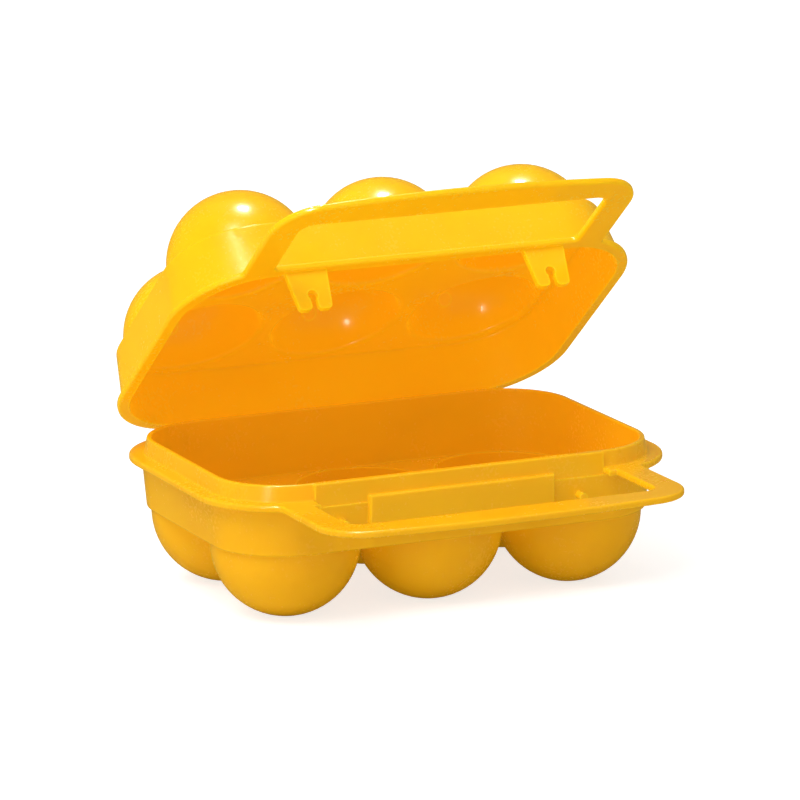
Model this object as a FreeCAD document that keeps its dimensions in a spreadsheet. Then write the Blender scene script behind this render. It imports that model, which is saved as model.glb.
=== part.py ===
import FreeCAD, Part
import math
import os

import Sketcher

# A carrier for six eggs, moulded in plastic: a tray and a lid, each with six rounded cups and a carrying
# handle at the front, hinged together at the back on two short pins.
# Millimetres. X runs along the three columns of cups, Y from the handles to the hinge, Z up. The origin is
# the point of the floor under the centre of the six cups. The lid is drawn closed and then opened.

SIZES = {
    "cup_pitch": 48.0,          # from egg to egg, along and across
    "cup_gap": 1.6,             # between the outsides of neighbouring cups
    "cup_wall": 1.6,
    "foot_radius": 4.0,         # the flat that each cup stands on
    "cup_neck": 0.95,           # upright stretch of a cup between its ball and the shoulder
    "side_margin": 1.0,         # from the cups to the outside of the wall band
    "corner_squareness": 1.2,   # how much tighter the plan's corners are than the corner cups
    "deck_wall": 1.6,           # the web between the mouths of the cups
    "cup_ledge": 0.3,           # from a cup's mouth to the inside of the wall
    "band_height": 15.0,        # tray wall from the shoulder to the flange
    "band_draft": 1.3,
    "flange_width": 4.0,
    "plate": 2.2,               # thickness of the flanges and the handles
    "lip_height": 5.0,          # upstand that the lid fits over
    "lip_wall": 1.5,
    "lip_lean": 1.0,
    "inner_draft": 0.4,
    "web_depth": 3.2,           # ribs that join neighbouring cups under the shoulder
    "web_wall": 1.6,
    "edge_round": 0.8,
    "lip_edge": 0.5,
    "front_end": 0.7,           # from the start of the corner in to the end of the plain front
    "handle_leg": 9.5,
    "handle_root": 1.5,         # where a leg joins the flange
    "handle_length": 41.0,      # from the flange to the front of the handle
    "handle_bar": 12.5,
    "handle_corner": 15.0,
    "handle_bow": 420.0,        # radius of the handle's slightly bowed front
    "window_corner": 4.5,
    "front_step": 0.4,          # how far the plain front wall stands behind the wall band
    "flange_stub": 2.5,         # flange left inside each leg of the handle
    "panel_gap": 2.0,           # from a latch tab to the end of the front panel
    "panel_height": 12.0,
    "panel_proud": 1.5,
    "latch_inset": 11.0,        # from the inside of a handle's leg to the middle of the latch
    "peg_radius": 1.3,
    "peg_drop": 7.8,            # from the top of the flange to the middle of the peg
    "peg_proud": 3.2,
    "tab_width": 14.0,
    "tab_taper": 1.7,           # taken off each side at the tab's tip
    "tab_length": 13.0,
    "tab_wall": 1.8,
    "tab_round": 1.4,           # at the ends of the tab's two fingers
    "latch_clearance": 0.3,     # round the peg in its keyhole and behind the tab
    "throat_width": 2.2,        # narrower than the peg, which snaps through it
    "lid_gap": 0.3,             # between the closed lid and the tray's flange
    "lid_clearance": 0.4,       # between the lid's wall and the tray's
    "lid_wall": 1.8,
    "lid_height": 16.7,         # lid wall from its flange to its shoulder
    "lid_draft": 2.3,
    "dome_gap": 2.2,
    "dome_drop": 0.7,           # centre of a dome's ball below the lid's shoulder
    "mouth_round": 1.5,         # where a dome's hollow meets the ceiling
    "mouth_margin": 0.2,        # from a hollow's rounded mouth to the round at the ceiling's edge
    "foot_round": 0.8,          # where a dome stands on the lid's deck
    "gate_radius": 1.5,         # low round mark on each dome, where the plastic was let into the mould
    "gate_height": 0.25,
    "pip_radius": 2.4,
    "pip_height": 0.7,
    "pip_angle": 55.0,          # of a pip from the dome's own axis, towards the hinge
    "hinge_offset": 1.8,        # from the flange's edge back to the hinge axis
    "hinge_drop": 6.1,          # from the top of the flange down to the hinge axis
    "hinge_inset": 15.0,        # from the start of the corner to the middle of a hinge
    "pin_radius": 1.3,
    "pin_clearance": 0.06,
    "knuckle_radius": 3.0,
    "knuckle_width": 12.0,
    "knuckle_clearance": 0.3,
    "ear_width": 4.0,
    "ear_root": 9.0,            # height of an ear where it leaves the wall
    "arm_wall": 2.9,
    "arm_clearance": 0.6,       # between the flange's edge and the lid's hinge arm
    "lid_open": 38.5,           # degrees from closed, as the lid stands here
}

# Sizes that follow from the ones above. Those named _out or _in are measured outward from the middles of
# the outermost cups, which gives the plan its half width, its half depth and its corners in PLANS below.
FITS = {
    "row": "Sizes.cup_pitch / 2",
    "two_pitches": "Sizes.cup_pitch * 2",
    "first_column": "-Sizes.cup_pitch",
    "cup_radius": "(Sizes.cup_pitch - Sizes.cup_gap) / 2",
    "cup_inner": "cup_radius - Sizes.cup_wall",
    "cup_centre": "sqrt(cup_radius ^ 2 - Sizes.foot_radius ^ 2)",
    "shoulder": "cup_centre + Sizes.cup_neck",
    "deck_top": "shoulder + Sizes.deck_wall",
    "flange_low": "shoulder + Sizes.band_height",
    "flange_top": "flange_low + Sizes.plate",
    "flange_middle": "flange_low + Sizes.plate / 2",
    "lip_top": "flange_top + Sizes.lip_height",
    "shoulder_out": "cup_radius + Sizes.side_margin",
    "corner_centre": "Sizes.corner_squareness",
    "band_out": "shoulder_out + Sizes.band_draft",
    "flange_out": "band_out + Sizes.flange_width",
    "floor_in": "cup_inner + Sizes.cup_ledge",
    "lip_in": "floor_in + Sizes.inner_draft",
    "lip_out": "lip_in + Sizes.lip_wall",
    "lip_foot": "lip_out + Sizes.lip_lean",
    "web_low": "shoulder - Sizes.web_depth",
    "web_rise": "Sizes.web_depth + Sizes.deck_wall / 2",
    "web_near": "row - Sizes.web_wall / 2",
    "web_far": "row + Sizes.web_wall / 2",
    "web_half": "Sizes.web_wall / 2",
    "front_y": "row + band_out - Sizes.front_step",
    "front_rise": "lip_top - flange_low",
    "stub_half": "Sizes.cup_pitch + corner_centre - Sizes.front_end",
    "window_half": "stub_half + Sizes.flange_stub",
    "handle_half": "window_half + Sizes.handle_leg",
    "handle_front": "row + flange_out + Sizes.handle_length",
    "bow_centre": "Sizes.handle_bow - handle_front",
    "window_front": "handle_front - Sizes.handle_bar",
    "latch_x": "window_half - Sizes.latch_inset",
    "latch_z": "flange_top - Sizes.peg_drop",
    "peg_reach": "band_out + Sizes.peg_proud",
    "tab_near": "latch_x - Sizes.tab_width / 2",
    "tab_far": "latch_x + Sizes.tab_width / 2",
    "tip_near": "tab_near + Sizes.tab_taper",
    "tip_far": "tab_far - Sizes.tab_taper",
    "tab_tip": "lid_low - Sizes.tab_length",
    "tab_y": "row + band_out + Sizes.latch_clearance",
    "keyhole_radius": "Sizes.peg_radius + Sizes.latch_clearance",
    "throat_near": "latch_x - Sizes.throat_width / 2",
    "throat_far": "latch_x + Sizes.throat_width / 2",
    "keyhole_low": "tab_tip - Sizes.tab_wall",
    "panel_half": "tab_near - Sizes.panel_gap",
    "panel_low": "flange_top - Sizes.panel_height",
    "panel_reach": "band_out + Sizes.panel_proud",
    "lid_low": "flange_top + Sizes.lid_gap",
    "lid_flange_top": "lid_low + Sizes.plate",
    "lid_flange_middle": "lid_low + Sizes.plate / 2",
    "lid_in": "band_out + Sizes.lid_clearance",
    "lid_out": "lid_in + Sizes.lid_wall",
    "lid_middle_y": "row + lid_in + Sizes.lid_wall / 2",
    "lid_shoulder": "lid_flange_top + Sizes.lid_height",
    "lid_shoulder_out": "lid_out - Sizes.lid_draft",
    "ceiling": "lid_shoulder - Sizes.deck_wall",
    "ceiling_in": "lid_shoulder_out - Sizes.deck_wall",
    "dome_radius": "(Sizes.cup_pitch - Sizes.dome_gap) / 2",
    "dome_inner": "dome_radius - Sizes.cup_wall",
    "ceiling_edge": "ceiling_in - dome_inner - Sizes.mouth_round - Sizes.mouth_margin",
    "dome_centre": "lid_shoulder - Sizes.dome_drop",
    "dome_top": "dome_centre + dome_radius",
    "dome_inner_top": "dome_centre + dome_inner",
    "gate_low": "dome_inner_top + Sizes.cup_wall / 2",
    "gate_rise": "Sizes.gate_height + Sizes.cup_wall / 2",
    "cup_floor": "cup_centre - cup_inner",
    "pip_reach": "dome_inner - Sizes.pip_height",
    "pip_length": "Sizes.pip_height + Sizes.cup_wall / 2",
    "pip_y": "pip_reach * sin(Sizes.pip_angle) - row",
    "pip_z": "pip_reach * cos(Sizes.pip_angle) + dome_centre",
    "ear_top_y": "row + band_out + Sizes.flange_width / 2",
    "hinge_y": "row + flange_out + Sizes.hinge_offset",
    "hinge_z": "flange_top - Sizes.hinge_drop",
    "hinge_x": "Sizes.cup_pitch + corner_centre - Sizes.hinge_inset",
    "knuckle_start": "hinge_x - Sizes.knuckle_width / 2",
    "knuckle_bore": "Sizes.pin_radius + Sizes.pin_clearance",
    "inner_ear": "hinge_x - Sizes.knuckle_width / 2 - Sizes.knuckle_clearance - Sizes.ear_width",
    "outer_ear": "hinge_x + Sizes.knuckle_width / 2 + Sizes.knuckle_clearance",
    "pin_length": "outer_ear - inner_ear + Sizes.ear_width",
    "left_pin_start": "-(outer_ear + Sizes.ear_width)",
    "ear_low": "flange_low - Sizes.ear_root",
    "wall_middle_y": "row + lip_out",
    "arm_in": "row + flange_out + Sizes.arm_clearance",
    "arm_out": "arm_in + Sizes.arm_wall",
}
PLANS = ("shoulder_out", "band_out", "flange_out", "floor_in", "lip_in", "lip_out", "lip_foot",
         "lid_in", "lid_out", "lid_shoulder_out", "ceiling_in")
for plan in PLANS:
    FITS[plan + "_x"] = "Sizes.cup_pitch + " + plan
    FITS[plan + "_y"] = "row + " + plan
    FITS[plan + "_corner"] = plan + " - corner_centre"

document = FreeCAD.newDocument("egg_carrier")


def sheet(name, cells):
    """A spreadsheet of named cells, one to a line."""
    table = document.addObject("Spreadsheet::Sheet", name)
    for line, (alias, text) in enumerate(cells.items(), start=1):
        table.set("A%d" % line, alias)
        table.set("B%d" % line, str(text))
        table.setAlias("B%d" % line, alias)
    return table


sizes = sheet("Sizes", SIZES)
fits = sheet("Fits", {alias: "=" + formula for alias, formula in FITS.items()})
document.recompute()


def value(name):
    """The number in a cell, negative where its name is given with a minus sign."""
    alias = name.lstrip("-")
    number = float(getattr(sizes if alias in SIZES else fits, alias))
    return -number if name.startswith("-") else number


def bind(thing, setting, name):
    """Ties a setting of an object to a cell."""
    sign = "-" if name.startswith("-") else ""
    alias = name.lstrip("-")
    thing.setExpression(setting, sign + ("Sizes." if alias in SIZES else "Fits.") + alias)


def origin_part(body, role):
    """One of a body's own axes or planes."""
    return [part for part in body.Origin.OriginFeatures if part.Role == role][0]


def new_sketch(body, name, plane, level, across=None, up=None):
    """An empty sketch level millimetres in front of one of the body's own planes."""
    sketch = body.newObject("Sketcher::SketchObject", name)
    sketch.AttachmentSupport = [(origin_part(body, plane), "")]
    sketch.MapMode = "FlatFace"
    for letter, cell in (("x", across), ("y", up), ("z", level)):
        if cell:
            bind(sketch, "AttachmentOffset.Base." + letter, cell)
    return sketch


def drive(sketch, kind, where, name):
    """A dimension of a sketch, tied to a cell. Distances from the origin take the cell's sign."""
    number = value(name)
    if kind.startswith("Distance"):
        where = (-1, 1) + where if number >= 0 else where + (-1, 1)
    index = sketch.addConstraint(Sketcher.Constraint(kind, *where, abs(number)))
    bind(sketch, "Constraints[%d]" % index, name.lstrip("-"))


def run(sketch, pieces, smooth=()):
    """A closed run of lines (two points) and arcs (three points), joined end to end.

    The joints named in smooth, each by the number of the piece before it, are tangent.
    Returns the number and the two end marks of each piece in the sketch."""
    placed = []
    for points in pieces:
        corners = [FreeCAD.Vector(x, y, 0) for x, y in points]
        edge = Part.LineSegment(*corners) if len(corners) == 2 else Part.Arc(*corners)
        index = sketch.addGeometry(edge, False)
        forward = sketch.getPoint(index, 1).distanceToPoint(corners[0]) < 1e-6
        placed.append((index, 1, 2) if forward else (index, 2, 1))
    for number, (index, _, end) in enumerate(placed):
        after, start, _ = placed[(number + 1) % len(placed)]
        kind = "Tangent" if number in smooth else "Coincident"
        sketch.addConstraint(Sketcher.Constraint(kind, index, end, after, start))
    return placed


def outline(sketch, corners):
    """A closed outline of level and upright lines. A corner is its x and y cells, and its radius if round."""
    points = [(value(corner[0]), value(corner[1])) for corner in corners]
    radii = [value(corner[2]) if len(corner) > 2 else 0 for corner in corners]
    pieces, smooth, straight, round_corners = [], set(), [], []
    count = len(corners)
    for number in range(count):
        here, there = points[number], points[(number + 1) % count]
        length = math.dist(here, there)
        step = [(b - a) / length for a, b in zip(here, there)]
        start = [a + d * radii[number] for a, d in zip(here, step)]
        next_radius = radii[(number + 1) % count]
        end = [b - d * next_radius for b, d in zip(there, step)]
        straight.append((len(pieces), number, step))
        pieces.append((start, end))
        if next_radius:
            after = points[(number + 2) % count]
            turn = [(b - a) / math.dist(there, after) for a, b in zip(there, after)]
            centre = [p - s * next_radius + t * next_radius for p, s, t in zip(there, step, turn)]
            middle = [c + (s - t) * next_radius / math.sqrt(2) for c, s, t in zip(centre, step, turn)]
            round_end = [p + t * next_radius for p, t in zip(there, turn)]
            smooth.update((len(pieces) - 1, len(pieces)))
            round_corners.append((len(pieces), corners[(number + 1) % count][2]))
            pieces.append((end, middle, round_end))
    placed = run(sketch, pieces, smooth)
    for piece, number, step in straight:
        index, start, _ = placed[piece]
        upright = abs(step[0]) < 0.5
        sketch.addConstraint(Sketcher.Constraint("Vertical" if upright else "Horizontal", index))
        cell = corners[number][0 if upright else 1]
        drive(sketch, "DistanceX" if upright else "DistanceY", (index, start), cell)
    for piece, cell in round_corners:
        drive(sketch, "Radius", (placed[piece][0],), cell)
    return placed


def plan_sketch(body, name, plan, level):
    """The rounded rectangle of the plan at one level."""
    sketch = new_sketch(body, name, "XY_Plane", level)
    x, y, corner = plan + "_x", plan + "_y", plan + "_corner"
    outline(sketch, [(x, y, corner), ("-" + x, y, corner), ("-" + x, "-" + y, corner), (x, "-" + y, corner)])
    return sketch


def pad(body, name, sketch, length, cut=False):
    """A sketch raised to a solid, or sunk into one."""
    feature = body.newObject("PartDesign::Pocket" if cut else "PartDesign::Pad", name)
    feature.Profile = sketch
    bind(feature, "Length", length)
    sketch.Visibility = False
    return feature


def loft(body, name, low, high, cut=False):
    """A tapered block between two plan sketches."""
    feature = body.newObject("PartDesign::SubtractiveLoft" if cut else "PartDesign::AdditiveLoft", name)
    feature.Profile = low
    feature.Sections = [high]
    feature.Ruled = True
    return feature


def ball(body, name, radius, centre, mouth, tip, cut=False, flare=None, deck=None):
    """Six round-ended cups, each about its own upright axis.

    A cup runs straight from the mouth to the centre of its ball, then round to the tip. With no tip it
    ends at the floor, in a flat foot. With a flare it widens at the deck, in a round of that radius."""
    sketch = new_sketch(body, name + "_profile", "XZ_Plane", "row", across="first_column")
    r, middle, start, end = value(radius), value(centre), value(mouth), value(tip) if tip else 0.0
    flat = 0 if tip else value("foot_radius")
    side = 1 if end > middle else -1
    side_x, side_z = r, middle
    if flare:
        f, level = value(flare), value(deck)
        rise = level + f - middle
        wide = math.sqrt((r + f) ** 2 - rise ** 2)
        side_x, side_z = wide * r / (r + f), middle + rise * r / (r + f)
        slant = math.atan2(wide - side_x, level + f - side_z) / 2
        bend = (wide - f * math.sin(slant), level + f - f * math.cos(slant))
        pieces = [((0, start), (wide, start)), ((wide, start), (wide, level)),
                  ((wide, level), bend, (side_x, side_z))]
    else:
        pieces = [((0, start), (r, start)), ((r, start), (r, middle))]
    ball_at = len(pieces)
    first, last = math.atan2(side_z - middle, side_x), math.atan2(end - middle, flat)
    half_way = (first + last) / 2
    pieces.append(((side_x, side_z), (r * math.cos(half_way), middle + r * math.sin(half_way)), (flat, end)))
    if flat:
        pieces.append(((flat, end), (0, end)))
    pieces.append(((0, end), (0, start)))
    placed = run(sketch, pieces, smooth={ball_at - 1})
    mouth_line, wall, arc, axis_line = placed[0], placed[1], placed[ball_at], placed[-1]
    sketch.addConstraint(Sketcher.Constraint("Horizontal", mouth_line[0]))
    sketch.addConstraint(Sketcher.Constraint("Vertical", wall[0]))
    sketch.addConstraint(Sketcher.Constraint("PointOnObject", axis_line[0], axis_line[1], -2))
    sketch.addConstraint(Sketcher.Constraint("PointOnObject", axis_line[0], axis_line[2], -2))
    sketch.addConstraint(Sketcher.Constraint("PointOnObject", arc[0], 3, -2))
    drive(sketch, "DistanceY", (arc[0], 3), centre)
    drive(sketch, "Radius", (arc[0],), radius)
    drive(sketch, "DistanceY", mouth_line[:2], mouth)
    if flare:
        index, foot, _ = placed[2]
        sketch.addConstraint(Sketcher.Constraint("Vertical", index, 3, index, foot))
        drive(sketch, "Radius", (index,), flare)
        drive(sketch, "DistanceY", (index, foot), deck)
    if flat:
        sketch.addConstraint(Sketcher.Constraint("PointOnObject", arc[0], arc[2], -1))
        sketch.addConstraint(Sketcher.Constraint("Horizontal", placed[-2][0]))
    feature = body.newObject("PartDesign::Groove" if cut else "PartDesign::Revolution", name)
    feature.Profile = sketch
    feature.ReferenceAxis = (sketch, ["V_Axis"])
    feature.Angle = 360
    return repeat(body, name + "s", feature, (("X_Axis", 3, "two_pitches"), ("Y_Axis", 2, "cup_pitch")))


def repeat(body, name, feature, steps):
    """Copies of a feature in rows: for each row its axis, how many, and its whole length."""
    group = body.newObject("PartDesign::MultiTransform", name)
    group.Originals = [feature]
    rows = []
    for axis, count, length in steps:
        row = body.newObject("PartDesign::LinearPattern", name + "_" + axis[0].lower())
        row.Direction = (origin_part(body, axis), [""])
        bind(row, "Length", length)
        row.Occurrences = count
        rows.append(row)
    group.Transformations = rows
    body.Tip = group
    return group


def mirror(body, name, features):
    """The same features on the other side of the middle."""
    group = body.newObject("PartDesign::Mirrored", name)
    group.Originals = features
    group.MirrorPlane = (origin_part(body, "YZ_Plane"), [""])
    body.Tip = group
    return group


def fillet(body, name, base, chosen, radius):
    """Rounds the edges of the last feature that the test chooses."""
    document.recompute()
    edges = ["Edge%d" % n for n, edge in enumerate(base.Shape.Edges, start=1) if chosen(edge)]
    if not edges:
        raise RuntimeError("%s finds no edge to round" % name)
    feature = body.newObject("PartDesign::Fillet", name)
    feature.Base = (base, edges)
    bind(feature, "Radius", radius)
    return feature


def lies(edge, axis, number):
    """True if the whole edge has this X, Y or Z."""
    box = edge.BoundBox
    ends = {"x": (box.XMin, box.XMax), "y": (box.YMin, box.YMax), "z": (box.ZMin, box.ZMax)}[axis]
    return max(abs(end - number) for end in ends) < 1e-3


def plate(body, low, window_corners):
    """A half's flange and its handle: one flat plate with the hand's window cut through it."""
    flange = pad(body, "flange", plan_sketch(body, "flange_plan", "flange_out", low), "plate")

    sketch = new_sketch(body, "handle_plan", "XY_Plane", low)
    half, root = value("handle_half"), -value("row")
    corner, bow, centre = value("handle_corner"), value("handle_bow"), value("bow_centre")
    turn_x = half - corner
    turn_y = centre - math.sqrt((bow - corner) ** 2 - turn_x ** 2)
    reach = bow / (bow - corner)
    meet_x, meet_y = turn_x * reach, centre + (turn_y - centre) * reach
    slant = math.atan2(meet_y - turn_y, meet_x - turn_x) / 2
    bend_x, bend_y = turn_x + corner * math.cos(slant), turn_y + corner * math.sin(slant)
    placed = run(sketch, [
        ((-half, root), (-half, turn_y)),
        ((-half, turn_y), (-bend_x, bend_y), (-meet_x, meet_y)),
        ((-meet_x, meet_y), (0, centre - bow), (meet_x, meet_y)),
        ((meet_x, meet_y), (bend_x, bend_y), (half, turn_y)),
        ((half, turn_y), (half, root)),
        ((half, root), (-half, root)),
    ], smooth={0, 1, 2, 3})
    left, left_turn, front, right_turn, right, back = placed
    for index, _, _ in (left, right):
        sketch.addConstraint(Sketcher.Constraint("Vertical", index))
    sketch.addConstraint(Sketcher.Constraint("Horizontal", back[0]))
    sketch.addConstraint(Sketcher.Constraint("Equal", left_turn[0], right_turn[0]))
    sketch.addConstraint(Sketcher.Constraint("PointOnObject", front[0], 3, -2))
    drive(sketch, "Radius", (left_turn[0],), "handle_corner")
    drive(sketch, "Radius", (front[0],), "handle_bow")
    drive(sketch, "DistanceY", (front[0], 3), "bow_centre")
    drive(sketch, "DistanceX", (left[0], left[1]), "-handle_half")
    drive(sketch, "DistanceX", (right[0], right[1]), "handle_half")
    drive(sketch, "DistanceY", (back[0], back[1]), "-row")
    handle = pad(body, "handle", sketch, "plate")

    level = value(low)

    def upright(edge):
        return len(edge.Vertexes) == 2 and lies(edge, "x", edge.Vertexes[0].X) and edge.BoundBox.ZLength > 1

    def beside_leg(edge):
        return upright(edge) and abs(abs(edge.Vertexes[0].X) - half) < 1e-3 and (
            abs(edge.Vertexes[0].Y - turn_y) > 1e-3)

    joined = fillet(body, "handle_roots", handle, beside_leg, "handle_root")
    window = new_sketch(body, "window_plan", "XY_Plane", low)
    outline(window, window_corners)
    opened = pad(body, "window", window, "plate", cut=True)
    opened.Reversed = True
    top = level + value("plate")

    def face_edge(edge):
        return lies(edge, "z", level) or lies(edge, "z", top)

    return fillet(body, "plate_edges", opened, face_edge, "edge_round")


def pin_boss(sketch, pieces, arc, smooth, held):
    """A hinge part's side view: straight sides that run into a round boss about the hinge axis."""
    placed = run(sketch, pieces, smooth)
    drive(sketch, "DistanceX", (placed[arc][0], 3), "hinge_y")
    drive(sketch, "DistanceY", (placed[arc][0], 3), "hinge_z")
    drive(sketch, "Radius", (placed[arc][0],), "knuckle_radius")
    for kind, piece, cell in held:
        drive(sketch, kind, (placed[piece][0], placed[piece][1]), cell)
    bore = sketch.addGeometry(
        Part.Circle(FreeCAD.Vector(value("hinge_y"), value("hinge_z"), 0), FreeCAD.Vector(0, 0, 1), 1), False)
    sketch.addConstraint(Sketcher.Constraint("Coincident", bore, 3, placed[arc][0], 3))
    return bore


def touch(point, side):
    """Where a line from a point touches the hinge boss, on its left (1) or its right (-1)."""
    dx, dy = value("hinge_y") - point[0], value("hinge_z") - point[1]
    radius, away = value("knuckle_radius"), math.hypot(dx, dy)
    angle = math.atan2(dy, dx) + side * math.asin(radius / away)
    reach = math.sqrt(away ** 2 - radius ** 2)
    return point[0] + reach * math.cos(angle), point[1] + reach * math.sin(angle)


def ear(body, name, level):
    """One of the tray's hinge ears: a gusset under the flange that carries an end of the pin."""
    sketch = new_sketch(body, name + "_profile", "YZ_Plane", level)
    inside, top, low = value("wall_middle_y"), value("flange_middle"), value("ear_low")
    edge = value("ear_top_y")
    over, under = touch((edge, top), 1), touch((inside, low), -1)
    back = (value("hinge_y") + value("knuckle_radius"), value("hinge_z"))
    bore = pin_boss(sketch, [
        ((inside, top), (edge, top)), ((edge, top), over), (over, back, under),
        (under, (inside, low)), ((inside, low), (inside, top))],
        2, {1, 2}, [("DistanceX", 0, "wall_middle_y"), ("DistanceY", 0, "flange_middle"),
                    ("DistanceX", 1, "ear_top_y"), ("DistanceY", 1, "flange_middle"),
                    ("DistanceX", 4, "wall_middle_y"), ("DistanceY", 4, "ear_low")])
    drive(sketch, "Radius", (bore,), "pin_radius")
    return pad(body, name, sketch, "ear_width")


def wall_pad(body, name, corners, level, reach):
    """A pad forward from an upright plane, for what stands on the front wall."""
    sketch = new_sketch(body, name + "_outline", "XZ_Plane", level)
    outline(sketch, corners)
    return pad(body, name, sketch, reach)


def tray():
    """The lower half: wall, six cups, flange, handle, lip for the lid, latch pegs and hinge ears."""
    body = document.addObject("PartDesign::Body", "base_tray")
    plate(body, "flange_low", [
        ("-window_half", "-window_front", "window_corner"), ("window_half", "-window_front", "window_corner"),
        ("window_half", "-flange_out_y"), ("stub_half", "-flange_out_y"), ("stub_half", "-wall_middle_y"),
        ("-stub_half", "-wall_middle_y"), ("-stub_half", "-flange_out_y"), ("-window_half", "-flange_out_y")])

    band = loft(body, "band", plan_sketch(body, "band_foot", "shoulder_out", "shoulder"),
                plan_sketch(body, "band_head", "band_out", "flange_low"))
    shoulder = value("shoulder")
    fillet(body, "shoulder_round", band, lambda e: lies(e, "z", shoulder), "edge_round")
    loft(body, "lip", plan_sketch(body, "lip_base", "lip_foot", "flange_top"),
         plan_sketch(body, "lip_head", "lip_out", "lip_top"))
    front = new_sketch(body, "front_plan", "XY_Plane", "flange_low")
    outline(front, [("-stub_half", "-front_y"), ("stub_half", "-front_y"), ("stub_half", "-row"),
                    ("-stub_half", "-row")])
    pad(body, "front_wall", front, "front_rise")
    panel = wall_pad(body, "front_panel", [("-panel_half", "panel_low"), ("panel_half", "panel_low"),
                     ("panel_half", "flange_top"), ("-panel_half", "flange_top")], "row", "panel_reach")
    panel_face = -value("row") - value("panel_reach")
    fillet(body, "panel_round", panel, lambda e: lies(e, "y", panel_face), "edge_round")
    peg_plan = new_sketch(body, "peg_outline", "XZ_Plane", "row")
    circle = peg_plan.addGeometry(
        Part.Circle(FreeCAD.Vector(value("latch_x"), value("latch_z"), 0), FreeCAD.Vector(0, 0, 1), 1), False)
    drive(peg_plan, "DistanceX", (circle, 3), "latch_x")
    drive(peg_plan, "DistanceY", (circle, 3), "latch_z")
    drive(peg_plan, "Radius", (circle,), "peg_radius")
    mirror(body, "both_pegs", [pad(body, "latch_peg", peg_plan, "peg_reach")])
    mirror(body, "all_ears", [ear(body, "ear_in", "inner_ear"), ear(body, "ear_out", "outer_ear")])

    ball(body, "cup", "cup_radius", "cup_centre", "deck_top", None)
    row_plan = new_sketch(body, "row_web_plan", "XY_Plane", "web_low")
    outline(row_plan, [("-cup_pitch", "-web_far"), ("cup_pitch", "-web_far"), ("cup_pitch", "-web_near"),
                       ("-cup_pitch", "-web_near")])
    row_web = pad(body, "row_web", row_plan, "web_rise")
    repeat(body, "row_webs", row_web, (("Y_Axis", 2, "cup_pitch"),))
    column_plan = new_sketch(body, "column_web_plan", "XY_Plane", "web_low", across="first_column")
    outline(column_plan, [("-web_half", "-row"), ("web_half", "-row"), ("web_half", "row"),
                          ("-web_half", "row")])
    column_web = pad(body, "column_web", column_plan, "web_rise")
    repeat(body, "column_webs", column_web, (("X_Axis", 3, "two_pitches"),))

    loft(body, "inside", plan_sketch(body, "inside_floor", "floor_in", "deck_top"),
         plan_sketch(body, "inside_head", "lip_in", "lip_top"), cut=True)
    hollows = ball(body, "hollow", "cup_inner", "cup_centre", "flange_low", "cup_floor", cut=True)
    lip_top = value("lip_top")
    fillet(body, "lip_round", hollows, lambda e: lies(e, "z", lip_top), "lip_edge")
    return body


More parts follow.
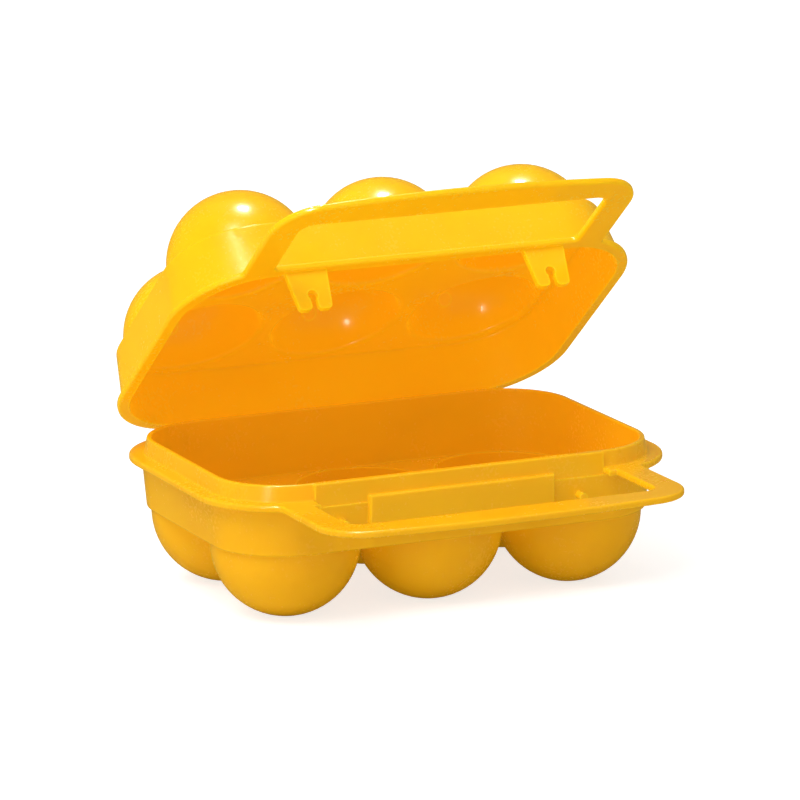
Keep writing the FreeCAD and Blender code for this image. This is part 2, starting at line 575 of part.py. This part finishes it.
def lid():
    """The upper half: wall, six domes, rim flange, handle, two latch tabs and two hinge knuckles."""
    body = document.addObject("PartDesign::Body", "lid")
    plate(body, "lid_low", [
        ("-window_half", "-window_front", "window_corner"), ("window_half", "-window_front", "window_corner"),
        ("window_half", "-flange_out_y", "handle_root"), ("-window_half", "-flange_out_y", "handle_root")])

    wall = loft(body, "wall", plan_sketch(body, "wall_foot", "lid_out", "lid_flange_top"),
                plan_sketch(body, "wall_head", "lid_shoulder_out", "lid_shoulder"))
    shoulder = value("lid_shoulder")
    fillet(body, "shoulder_round_lid", wall, lambda e: lies(e, "z", shoulder), "edge_round")
    ball(body, "dome", "dome_radius", "dome_centre", "ceiling", "dome_top",
         flare="foot_round", deck="lid_shoulder")
    gate_plan = new_sketch(body, "gate_outline", "XY_Plane", "gate_low", across="first_column", up="-row")
    ring = gate_plan.addGeometry(Part.Circle(FreeCAD.Vector(0, 0, 0), FreeCAD.Vector(0, 0, 1), 1), False)
    gate_plan.addConstraint(Sketcher.Constraint("Coincident", ring, 3, -1, 1))
    drive(gate_plan, "Radius", (ring,), "gate_radius")
    gate = pad(body, "gate", gate_plan, "gate_rise")
    repeat(body, "gates", gate, (("X_Axis", 3, "two_pitches"), ("Y_Axis", 2, "cup_pitch")))
    arm = new_sketch(body, "arm_profile", "YZ_Plane", "knuckle_start")
    inside, outside, head = value("arm_in"), value("arm_out"), value("lid_middle_y")
    axis_y, axis_z, radius = value("hinge_y"), value("hinge_z"), value("knuckle_radius")
    low, top = value("lid_low"), value("lid_flange_top")
    inside_foot = axis_z + math.sqrt(radius ** 2 - (inside - axis_y) ** 2)
    outside_foot = axis_z + math.sqrt(radius ** 2 - (outside - axis_y) ** 2)
    bore = pin_boss(arm, [
        ((head, top), (outside, top)), ((outside, top), (outside, outside_foot)),
        ((outside, outside_foot), (axis_y, axis_z - radius), (inside, inside_foot)),
        ((inside, inside_foot), (inside, low)), ((inside, low), (head, low)), ((head, low), (head, top))],
        2, set(), [("DistanceX", 0, "lid_middle_y"), ("DistanceY", 0, "lid_flange_top"),
                   ("DistanceX", 1, "arm_out"), ("DistanceY", 1, "lid_flange_top"),
                   ("DistanceX", 2, "arm_out"), ("DistanceX", 3, "arm_in"), ("DistanceX", 4, "arm_in"),
                   ("DistanceY", 4, "lid_low"), ("DistanceX", 5, "lid_middle_y"),
                   ("DistanceY", 5, "lid_low")])
    drive(arm, "Radius", (bore,), "knuckle_bore")
    mirror(body, "both_arms", [pad(body, "hinge_arm", arm, "knuckle_width")])

    tab = new_sketch(body, "tab_outline", "XZ_Plane", "tab_y")
    near, far, tip_near, tip_far = (value(n) for n in ("tab_near", "tab_far", "tip_near", "tip_far"))
    root, tip = value("lid_flange_middle"), value("tab_tip")
    placed = run(tab, [((near, root), (tip_near, tip)), ((tip_near, tip), (tip_far, tip)),
                       ((tip_far, tip), (far, root)), ((far, root), (near, root))])
    for piece in (1, 3):
        tab.addConstraint(Sketcher.Constraint("Horizontal", placed[piece][0]))
    for piece, cell in enumerate(("tab_near", "tip_near", "tip_far", "tab_far")):
        drive(tab, "DistanceX", placed[piece][:2], cell)
    drive(tab, "DistanceY", placed[0][:2], "lid_flange_middle")
    drive(tab, "DistanceY", placed[1][:2], "tab_tip")
    tab_pad = pad(body, "latch_tab", tab, "tab_wall")
    keyhole = new_sketch(body, "keyhole_outline", "XZ_Plane", "tab_y")
    x, z, hole = value("latch_x"), value("latch_z"), value("keyhole_radius")
    left, right, bottom = value("throat_near"), value("throat_far"), value("keyhole_low")
    throat = z - math.sqrt(hole ** 2 - (right - x) ** 2)
    placed = run(keyhole, [((right, throat), (x, z + hole), (left, throat)), ((left, throat), (left, bottom)),
                           ((left, bottom), (right, bottom)), ((right, bottom), (right, throat))])
    for piece, kind in ((1, "Vertical"), (2, "Horizontal"), (3, "Vertical")):
        keyhole.addConstraint(Sketcher.Constraint(kind, placed[piece][0]))
    drive(keyhole, "DistanceX", (placed[0][0], 3), "latch_x")
    drive(keyhole, "DistanceY", (placed[0][0], 3), "latch_z")
    drive(keyhole, "Radius", (placed[0][0],), "keyhole_radius")
    drive(keyhole, "DistanceX", placed[1][:2], "throat_near")
    drive(keyhole, "DistanceX", placed[3][:2], "throat_far")
    drive(keyhole, "DistanceY", placed[2][:2], "keyhole_low")
    slot = pad(body, "keyhole", keyhole, "tab_wall", cut=True)
    slot.Reversed = True
    tabs = mirror(body, "both_tabs", [tab_pad, slot])

    def finger_end(edge):
        return len(edge.Vertexes) == 2 and lies(edge, "z", tip) and edge.BoundBox.XLength < 1e-3

    fillet(body, "finger_rounds", tabs, finger_end, "tab_round")

    inside = loft(body, "inside_lid", plan_sketch(body, "rim_plan", "lid_in", "lid_low"),
                  plan_sketch(body, "ceiling_plan", "ceiling_in", "ceiling"), cut=True)
    ceiling = value("ceiling")
    fillet(body, "ceiling_round", inside, lambda e: lies(e, "z", ceiling), "ceiling_edge")
    ball(body, "dome_hollow", "dome_inner", "dome_centre", "lid_flange_top", "dome_inner_top", cut=True,
         flare="mouth_round", deck="ceiling")
    pip_plan = new_sketch(body, "pip_outline", "XY_Plane", "pip_z", across="first_column", up="pip_y")
    tilted = pip_plan.AttachmentOffset
    tilted.Rotation = FreeCAD.Rotation(FreeCAD.Vector(1, 0, 0), -value("pip_angle"))
    pip_plan.AttachmentOffset = tilted
    circle = pip_plan.addGeometry(Part.Circle(FreeCAD.Vector(0, 0, 0), FreeCAD.Vector(0, 0, 1), 1), False)
    pip_plan.addConstraint(Sketcher.Constraint("Coincident", circle, 3, -1, 1))
    drive(pip_plan, "Radius", (circle,), "pip_radius")
    pip = pad(body, "pip", pip_plan, "pip_length")
    repeat(body, "pips", pip, (("X_Axis", 3, "two_pitches"), ("Y_Axis", 2, "cup_pitch")))
    return body


def hinge_pin(name, start):
    """A plain pin along the hinge axis, from the outside of one ear to the outside of the next."""
    body = document.addObject("PartDesign::Body", name)
    sketch = new_sketch(body, name + "_profile", "YZ_Plane", start)
    circle = sketch.addGeometry(
        Part.Circle(FreeCAD.Vector(value("hinge_y"), value("hinge_z"), 0), FreeCAD.Vector(0, 0, 1), 1), False)
    drive(sketch, "DistanceX", (circle, 3), "hinge_y")
    drive(sketch, "DistanceY", (circle, 3), "hinge_z")
    drive(sketch, "Radius", (circle,), "pin_radius")
    pad(body, name + "_rod", sketch, "pin_length")
    return body


pieces = [
    tray(), lid(),
    hinge_pin("hinge_pin_right", "inner_ear"), hinge_pin("hinge_pin_left", "left_pin_start"),
]
document.recompute()

# The lid stands open: it turns about the hinge axis, its front rising.
axis_point = FreeCAD.Vector(0, value("hinge_y"), value("hinge_z"))
opening = FreeCAD.Rotation(FreeCAD.Vector(1, 0, 0), -value("lid_open"))
pieces[1].Placement = FreeCAD.Placement(FreeCAD.Vector(), opening, axis_point)
document.recompute()

for thing in document.Objects:
    if "Invalid" in thing.State or "Error" in thing.State:
        raise RuntimeError("%s did not recompute: %s" % (thing.Name, thing.State))
os.makedirs("parts", exist_ok=True)
for piece in pieces:
    shape = piece.Shape
    if shape.isNull() or not shape.isValid() or len(shape.Solids) != 1:
        raise RuntimeError("%s is not one valid solid" % piece.Label)
    shape.exportStep("parts/%s.step" % piece.Label)
    box = shape.optimalBoundingBox()
    print("%-16s %7.2f cm3  x %.1f..%.1f  y %.1f..%.1f  z %.1f..%.1f" % (
        piece.Label, shape.Volume / 1000, box.XMin, box.XMax, box.YMin, box.YMax, box.ZMin, box.ZMax))
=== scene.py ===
import math

import bmesh
import bpy
from mathutils import Matrix, Vector


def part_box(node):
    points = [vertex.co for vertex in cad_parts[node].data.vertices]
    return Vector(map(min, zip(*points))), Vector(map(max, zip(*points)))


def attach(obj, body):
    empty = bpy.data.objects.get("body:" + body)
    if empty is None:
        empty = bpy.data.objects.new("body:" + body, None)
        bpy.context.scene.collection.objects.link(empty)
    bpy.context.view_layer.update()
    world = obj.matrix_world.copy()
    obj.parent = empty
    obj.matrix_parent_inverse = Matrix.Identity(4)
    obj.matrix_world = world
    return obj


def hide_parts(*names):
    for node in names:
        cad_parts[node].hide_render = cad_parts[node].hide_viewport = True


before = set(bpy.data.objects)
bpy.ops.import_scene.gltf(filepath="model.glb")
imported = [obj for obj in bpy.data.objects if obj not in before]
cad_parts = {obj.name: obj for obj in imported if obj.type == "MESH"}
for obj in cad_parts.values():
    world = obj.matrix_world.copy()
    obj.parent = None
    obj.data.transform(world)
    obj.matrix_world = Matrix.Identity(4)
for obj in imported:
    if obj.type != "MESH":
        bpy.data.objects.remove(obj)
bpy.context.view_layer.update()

# Camera: a long lens that looks from a little above the handles and to their left, aimed at the heart of
# the open carrier, so that both handles, the latch tabs and the inside show.
scene = bpy.context.scene
aim = Vector((0.0018, 0.0, 0.0571))
camera_distance = 1.8254
camera_turn = math.radians(-24.11)
camera_rise = math.radians(12.81)
camera_roll = math.radians(-0.57)
camera_data = bpy.data.cameras.new("camera")
camera_data.lens = 262.8
camera_data.sensor_width = 36.0
camera_data.clip_end = 20.0
camera = bpy.data.objects.new("camera", camera_data)
scene.collection.objects.link(camera)
toward = Matrix.Rotation(camera_turn, 4, "Z") @ Matrix.Rotation(math.radians(90) - camera_rise, 4, "X")
camera.matrix_world = (Matrix.Translation(aim) @ toward @ Matrix.Translation((0, 0, camera_distance))
                       @ Matrix.Rotation(camera_roll, 4, "Z"))
scene.camera = camera

# Studio: a white table that runs on into a white room, a key light on the left, weaker lights behind and
# low on the left, and three small lamps that only put sparkle on the gloss. The gloss mirrors a darker
# table and room than the ones that light the carrier, as if dark cards stood round it.
scene.view_settings.view_transform = "Standard"
table_reach = 6.0
table_mesh = bpy.data.meshes.new("table_top")
table = bmesh.new()
bmesh.ops.create_grid(table, x_segments=1, y_segments=1, size=table_reach)
table.to_mesh(table_mesh)
table.free()
table_top = bpy.data.objects.new("table_top", table_mesh)
scene.collection.objects.link(table_top)


def by_ray(tree, kind, others, these):
    """One shader for a kind of ray, such as the camera's own, and another for all other rays."""
    ray = tree.nodes.new("ShaderNodeLightPath")
    choice = tree.nodes.new("ShaderNodeMixShader")
    tree.links.new(ray.outputs[kind], choice.inputs["Fac"])
    tree.links.new(others, choice.inputs[1])
    tree.links.new(these, choice.inputs[2])
    return choice.outputs["Shader"]


white = bpy.data.materials.new("white_table")
white.use_nodes = True
table_tree = white.node_tree
table_seen = table_tree.nodes["Principled BSDF"]
table_seen.inputs["Base Color"].default_value = (0.50, 0.50, 0.50, 1)
table_seen.inputs["Roughness"].default_value = 0.9
table_seen.inputs["Specular IOR Level"].default_value = 0.1
table_seen.inputs["Emission Color"].default_value = (1.0, 1.0, 1.0, 1)
table_seen.inputs["Emission Strength"].default_value = 0.72
table_lit = table_tree.nodes.new("ShaderNodeBsdfDiffuse")
table_lit.inputs["Color"].default_value = (0.66, 0.66, 0.66, 1)
table_mirrored = table_tree.nodes.new("ShaderNodeBsdfDiffuse")
table_mirrored.inputs["Color"].default_value = (0.26, 0.19, 0.08, 1)
unseen = by_ray(table_tree, "Is Glossy Ray", table_lit.outputs["BSDF"], table_mirrored.outputs["BSDF"])
surface = by_ray(table_tree, "Is Camera Ray", unseen, table_seen.outputs["BSDF"])
table_tree.links.new(surface, table_tree.nodes["Material Output"].inputs["Surface"])
table_mesh.materials.append(white)

world = bpy.data.worlds.new("white_room")
world.use_nodes = True
room_tree = world.node_tree
room_lit = room_tree.nodes["Background"]
room_lit.inputs["Color"].default_value = (1.0, 1.0, 1.0, 1)
room_lit.inputs["Strength"].default_value = 0.54
room_seen = room_tree.nodes.new("ShaderNodeBackground")
room_seen.inputs["Strength"].default_value = 1.1
room_mirrored = room_tree.nodes.new("ShaderNodeBackground")
room_mirrored.inputs["Color"].default_value = (1.0, 0.85, 0.6, 1)
room_mirrored.inputs["Strength"].default_value = 0.16
unseen = by_ray(room_tree, "Is Glossy Ray", room_lit.outputs["Background"],
                room_mirrored.outputs["Background"])
surface = by_ray(room_tree, "Is Camera Ray", unseen, room_seen.outputs["Background"])
room_tree.links.new(surface, room_tree.nodes["World Output"].inputs["Surface"])
scene.world = world


def studio_light(name, place, across, power, sparkle=False):
    """A square light, aimed at the carrier. A large one only lights it, and doesn't show in its gloss. A
    sparkle lamp only shows in its gloss, as a small bright spot."""
    data = bpy.data.lights.new(name, "AREA")
    data.shape = "SQUARE"
    data.size = across
    data.energy = power
    light = bpy.data.objects.new(name, data)
    light.location = place
    light.rotation_euler = (aim - Vector(place)).to_track_quat("-Z", "Y").to_euler()
    light.visible_diffuse = not sparkle
    light.visible_glossy = sparkle
    scene.collection.objects.link(light)


studio_light("key_light", (-0.70, -0.35, 1.20), 0.70, 12.0)
studio_light("back_light", (-0.10, 0.90, 1.10), 0.60, 3.5)
studio_light("left_light", (-1.20, -0.35, 0.25), 0.50, 2.2)
studio_light("dome_sparkle", (-0.42, -0.50, 1.30), 0.16, 22.0, sparkle=True)
studio_light("edge_sparkle", (0.20, 0.35, 1.40), 0.24, 16.0, sparkle=True)
studio_light("corner_sparkle", (-1.05, -1.00, 0.42), 0.20, 3.0, sparkle=True)

# Tray: the lower half, one injection moulding in glossy yellow plastic. Six cups hang from a walled tray
# with an outward flange, an upstand for the lid, a flat carrying handle, two latch pegs and hinge ears.
tray_yellow = (0.88, 0.445, 0.008)
tray_deep = (0.82, 0.385, 0.006)
# The tray's edge colour: a paler yellow painted along edges as a painted highlight.
tray_edge_highlight = (0.98, 0.66, 0.03)
milkiness = 0.5              # how much of the light goes into the plastic and comes out close by
tray_painted_glow = 0.13             # stands in for the light that comes through the thin wall
weld = 2e-6                  # corners of the moulding closer than this are one corner
sliver = 1e-6                # edges shorter than this are dissolved
crease = math.radians(38)    # a sharper turn than this stays a hard edge


def welded_shell(node, piece_name, body):
    """The moulding as one welded skin: flat faces stay flat, and the rounds between them shade softly."""
    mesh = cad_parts[node].data.copy()
    mesh.name = piece_name
    skin = bmesh.new()
    skin.from_mesh(mesh)
    bmesh.ops.remove_doubles(skin, verts=skin.verts, dist=weld)
    bmesh.ops.dissolve_degenerate(skin, edges=skin.edges, dist=sliver)
    skin.to_mesh(mesh)
    skin.free()
    if "custom_normal" in mesh.attributes:
        mesh.attributes.remove(mesh.attributes["custom_normal"])
    mesh.shade_smooth()
    mesh.set_sharp_from_angle(angle=crease)
    mesh.materials.clear()
    piece = bpy.data.objects.new(piece_name, mesh)
    scene.collection.objects.link(piece)
    even = piece.modifiers.new("even_shading", "WEIGHTED_NORMAL")
    even.keep_sharp = True
    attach(piece, body)
    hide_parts(node)
    return piece


def moulded_plastic(name, body_colour, deep_colour, edge_highlight_colour, milky, painted_glow):
    """Glossy, slightly milky plastic. The colour drifts with the flow of the melt and is painted paler
    along thin edges as a painted highlight, where they catch the light; the gloss is uneven with handling,
    and the skin has the mould's faint ripple and grain. A painted glow (emission) stands in for light
    through the wall."""
    flow_size, wear_size, speck_size = 22.0, 60.0, 900.0      # of the patterns, in waves a metre
    ripple_size, grain_size = 75.0, 1400.0
    ripple_depth, grain_depth = 0.0002, 0.00003
    edge_highlight_reach = 0.0012
    smooth_part, dull_part = 0.17, 0.29
    plastic = bpy.data.materials.new(name)
    plastic.use_nodes = True
    nodes, links = plastic.node_tree.nodes, plastic.node_tree.links
    shader = nodes["Principled BSDF"]
    place = nodes.new("ShaderNodeTexCoord")

    def noise(scale, detail, stretch=(1, 1, 1)):
        stretched = nodes.new("ShaderNodeMapping")
        stretched.inputs["Scale"].default_value = stretch
        links.new(place.outputs["Object"], stretched.inputs["Vector"])
        cloud = nodes.new("ShaderNodeTexNoise")
        cloud.inputs["Scale"].default_value = scale
        cloud.inputs["Detail"].default_value = detail
        links.new(stretched.outputs["Vector"], cloud.inputs["Vector"])
        return cloud.outputs["Fac"]

    def spread(value, low, high, bottom, top):
        band = nodes.new("ShaderNodeMapRange")
        band.inputs["From Min"].default_value = low
        band.inputs["From Max"].default_value = high
        band.inputs["To Min"].default_value = bottom
        band.inputs["To Max"].default_value = top
        links.new(value, band.inputs["Value"])
        return band.outputs["Result"]

    def mixed(amount, first, second):
        mix = nodes.new("ShaderNodeMix")
        mix.data_type = "RGBA"
        links.new(amount, mix.inputs["Factor"])
        for socket, colour in ((mix.inputs[6], first), (mix.inputs[7], second)):
            if isinstance(colour, tuple):
                socket.default_value = (*colour, 1)
            else:
                links.new(colour, socket)
        return mix.outputs[2]

    flow = spread(noise(flow_size, 3.0, (1.0, 1.0, 1.6)), 0.35, 0.7, 0.0, 1.0)
    body = mixed(flow, body_colour, deep_colour)
    # Painted highlight: a paler colour is mixed into the base colour along edges, where the bevel normal
    # turns away from the true normal.
    rim = nodes.new("ShaderNodeBevel")
    rim.samples = 6
    rim.inputs["Radius"].default_value = edge_highlight_reach
    shape = nodes.new("ShaderNodeNewGeometry")
    turned = nodes.new("ShaderNodeVectorMath")
    turned.operation = "DOT_PRODUCT"
    links.new(rim.outputs["Normal"], turned.inputs[0])
    links.new(shape.outputs["Normal"], turned.inputs[1])
    edge = spread(turned.outputs["Value"], 0.995, 0.86, 0.0, 0.55)
    links.new(mixed(edge, body, edge_highlight_colour), shader.inputs["Base Color"])

    gloss = nodes.new("ShaderNodeMath")
    gloss.operation = "ADD"
    links.new(spread(noise(wear_size, 4.0), 0.3, 0.75, smooth_part, dull_part), gloss.inputs[0])
    links.new(spread(noise(speck_size, 2.0), 0.5, 0.8, 0.0, 0.08), gloss.inputs[1])
    links.new(gloss.outputs["Value"], shader.inputs["Roughness"])

    ripple = nodes.new("ShaderNodeBump")
    ripple.inputs["Strength"].default_value = 0.35
    ripple.inputs["Distance"].default_value = ripple_depth
    links.new(noise(ripple_size, 1.0), ripple.inputs["Height"])
    grain = nodes.new("ShaderNodeBump")
    grain.inputs["Strength"].default_value = 0.5
    grain.inputs["Distance"].default_value = grain_depth
    links.new(noise(grain_size, 2.0), grain.inputs["Height"])
    links.new(ripple.outputs["Normal"], grain.inputs["Normal"])
    links.new(grain.outputs["Normal"], shader.inputs["Normal"])

    shader.subsurface_method = "RANDOM_WALK"
    shader.inputs["Subsurface Weight"].default_value = milky
    shader.inputs["Subsurface Radius"].default_value = (1.0, 0.8, 0.08)
    shader.inputs["Subsurface Scale"].default_value = 0.0025
    shader.inputs["IOR"].default_value = 1.47
    shader.inputs["Specular Tint"].default_value = (1.0, 0.90, 0.65, 1)
    shader.inputs["Coat Weight"].default_value = 0.25
    shader.inputs["Coat Roughness"].default_value = 0.07
    # Painted glow: a constant emission that lights the plastic from within, standing in for light through
    # the wall.
    shader.inputs["Emission Color"].default_value = (1.0, 0.68, 0.01, 1)
    shader.inputs["Emission Strength"].default_value = painted_glow
    return plastic


tray = welded_shell("base_tray", "tray_shell", "tray")
tray.data.materials.append(moulded_plastic("tray_plastic", tray_yellow, tray_deep, tray_edge_highlight,
                                           milkiness, tray_painted_glow))

# Lid: the upper half, the same plastic in a slightly stronger yellow. One moulding: six domes on a walled
# cover, with a narrow rim, a flat carrying handle, two keyhole latch tabs and two hinge knuckles.
lid_yellow = (0.97, 0.50, 0.003)
lid_deep = (0.92, 0.44, 0.002)
# The lid's edge colour: a paler yellow painted along edges as a painted highlight.
lid_edge_highlight = (1.0, 0.68, 0.01)
# The lid's painted glow: an emission strength standing in for light through the wall.
lid_painted_glow = 0.20
lid = welded_shell("lid", "lid_shell", "lid")
lid.data.materials.append(moulded_plastic("lid_plastic", lid_yellow, lid_deep, lid_edge_highlight,
                                          milkiness, lid_painted_glow))

# Hinge pins: two short rods of the same plastic, pressed through the tray's ears. The lid's knuckles turn
# on them. Their ends are slightly rounded where they were cut from the sprue.
pin_milkiness = 0.3
# The pins' painted glow: a weak emission.
pin_painted_glow = 0.05
pin_sides = 48
end_round = 0.00025
# The pins take the tray's paler yellow as their painted edge highlight.
pin_plastic = moulded_plastic("pin_plastic", tray_deep, tray_deep, tray_yellow, pin_milkiness, pin_painted_glow)
for side in ("left", "right"):
    low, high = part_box("hinge_pin_" + side)
    middle = (low + high) / 2
    length = high.x - low.x
    radius = (high.y - low.y) / 2
    rod = bmesh.new()
    bmesh.ops.create_cone(rod, cap_ends=True, segments=pin_sides, radius1=radius, radius2=radius,
                          depth=length)
    rims = [edge for edge in rod.edges if all(abs(v.co.z) > length / 2 - sliver for v in edge.verts)
            and abs(edge.verts[0].co.z - edge.verts[1].co.z) < sliver]
    bmesh.ops.bevel(rod, geom=rims, affect="EDGES", offset=end_round, segments=3, profile=0.5, material=-1)
    bmesh.ops.rotate(rod, verts=rod.verts, matrix=Matrix.Rotation(math.radians(90), 3, "Y"))
    bmesh.ops.translate(rod, verts=rod.verts, vec=middle)
    rod_name = "hinge_pin_%s_rod" % side
    pin_mesh = bpy.data.meshes.new(rod_name)
    rod.to_mesh(pin_mesh)
    rod.free()
    pin_mesh.shade_smooth()
    pin_mesh.set_sharp_from_angle(angle=crease)
    pin_mesh.materials.append(pin_plastic)
    pin = bpy.data.objects.new(rod_name, pin_mesh)
    scene.collection.objects.link(pin)
    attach(pin, "tray")
    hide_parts("hinge_pin_" + side)
